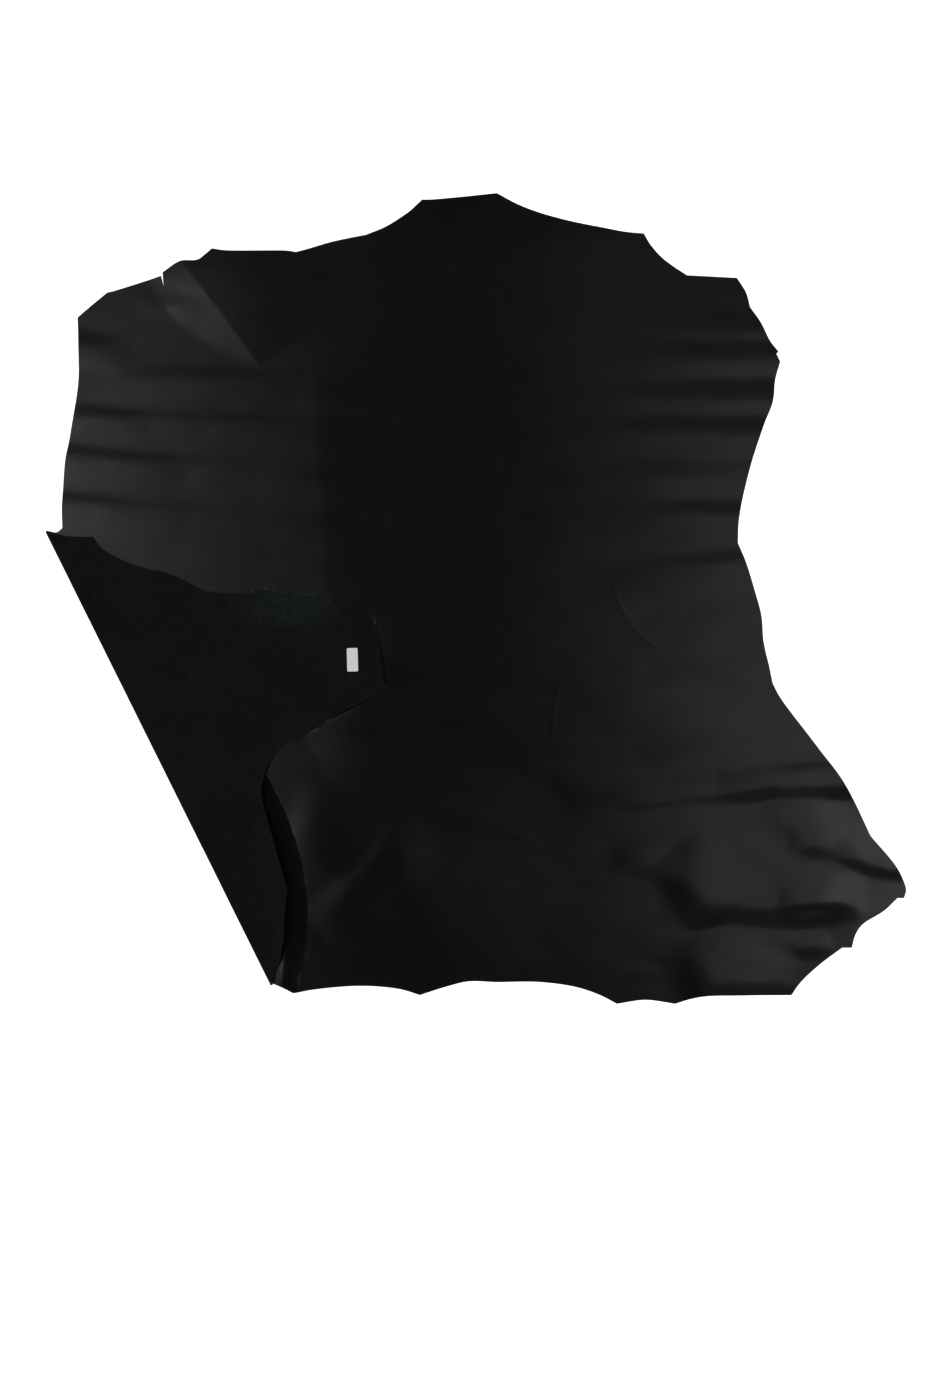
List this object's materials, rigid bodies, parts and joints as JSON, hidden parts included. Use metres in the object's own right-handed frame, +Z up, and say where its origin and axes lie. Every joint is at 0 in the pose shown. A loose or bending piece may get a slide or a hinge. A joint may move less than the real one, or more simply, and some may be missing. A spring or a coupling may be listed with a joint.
{
  "type": "leather hide",
  "caption": "Whole finished hide lying grain side up on a surface, with one hind leg turned over to show the flesh side and a small blank paper label.",
  "frame": {"origin": "centre of the bounding box, on the surface that the hide lies on", "axes": "+X from the turned-over leg's belly side to the other, +Y towards the neck, +Z up from the surface"},
  "size_m": [1.9768, 1.864, 0.03],
  "materials": {
    "black_leather": "smooth semi-matte grain side, napped matte flesh side",
    "label_paper": "matt white paper"
  },
  "bodies": {
    "root": {"hide": "black_leather", "paper_label": "label_paper"}
  },
  "joints": []
}
